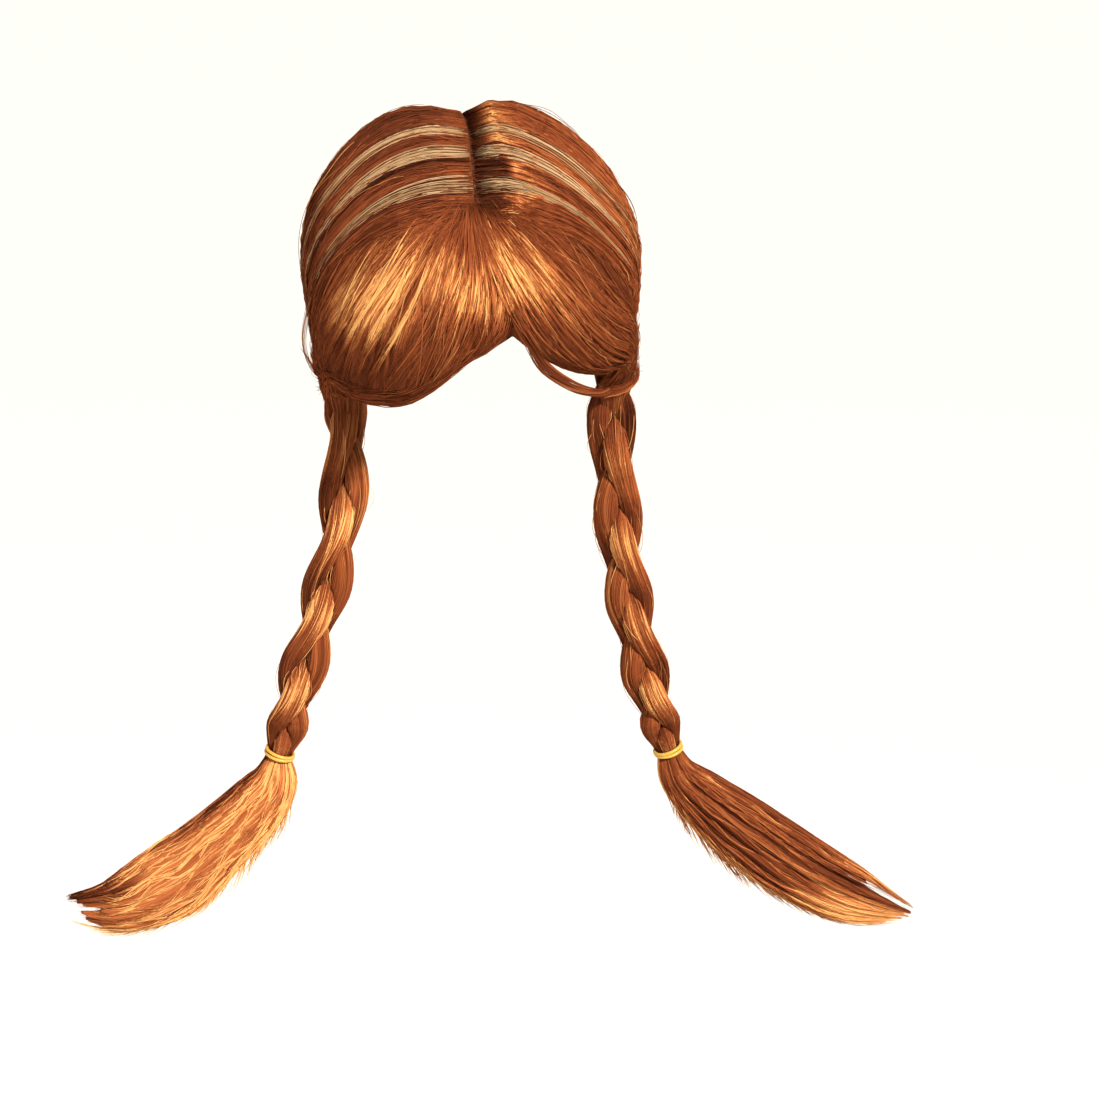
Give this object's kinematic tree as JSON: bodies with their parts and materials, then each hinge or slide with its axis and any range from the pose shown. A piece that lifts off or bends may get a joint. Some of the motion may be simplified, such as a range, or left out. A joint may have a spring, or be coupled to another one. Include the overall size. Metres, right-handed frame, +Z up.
{
  "type": "costume wig with plaits",
  "caption": "Copper-brown costume wig on a stretch cap: centre parting, swept fringe, slim pale highlights and a hanging plait each side with an elastic tie and a loose end.",
  "frame": {"origin": "inside of the cap at its crown, where the top of the wearer's head meets it", "axes": "+Z up, the wearer faces -Y, the wearer's left is +X"},
  "size_m": [0.4955, 0.2216, 0.4962],
  "materials": {
    "hair": "glossy copper-brown synthetic hair fibre",
    "pale_hair": "glossy pale blond synthetic hair fibre",
    "net": "matt dark brown stretch net and weft tape",
    "elastic": "satin golden yellow elastic cord"
  },
  "bodies": {
    "root": {"cap": "net", "parting_seam": "net", "wrap_lock_left": "hair", "side_hair_right": "hair", "fringe_right": "hair", "highlight_right_1": "pale_hair", "plait_right_strand_1": "hair", "highlight_right_2": "pale_hair", "plait_right_strand_2": "hair", "highlight_right_3": "pale_hair", "plait_right_strand_3": "hair", "tie_right": "elastic", "tail_right": "hair", "side_hair_left": "hair", "fringe_left": "hair", "highlight_left_1": "pale_hair", "plait_left_strand_1": "hair", "highlight_left_2": "pale_hair", "plait_left_strand_2": "hair", "highlight_left_3": "pale_hair", "plait_left_strand_3": "hair", "tie_left": "elastic", "tail_left": "hair"}
  },
  "joints": []
}
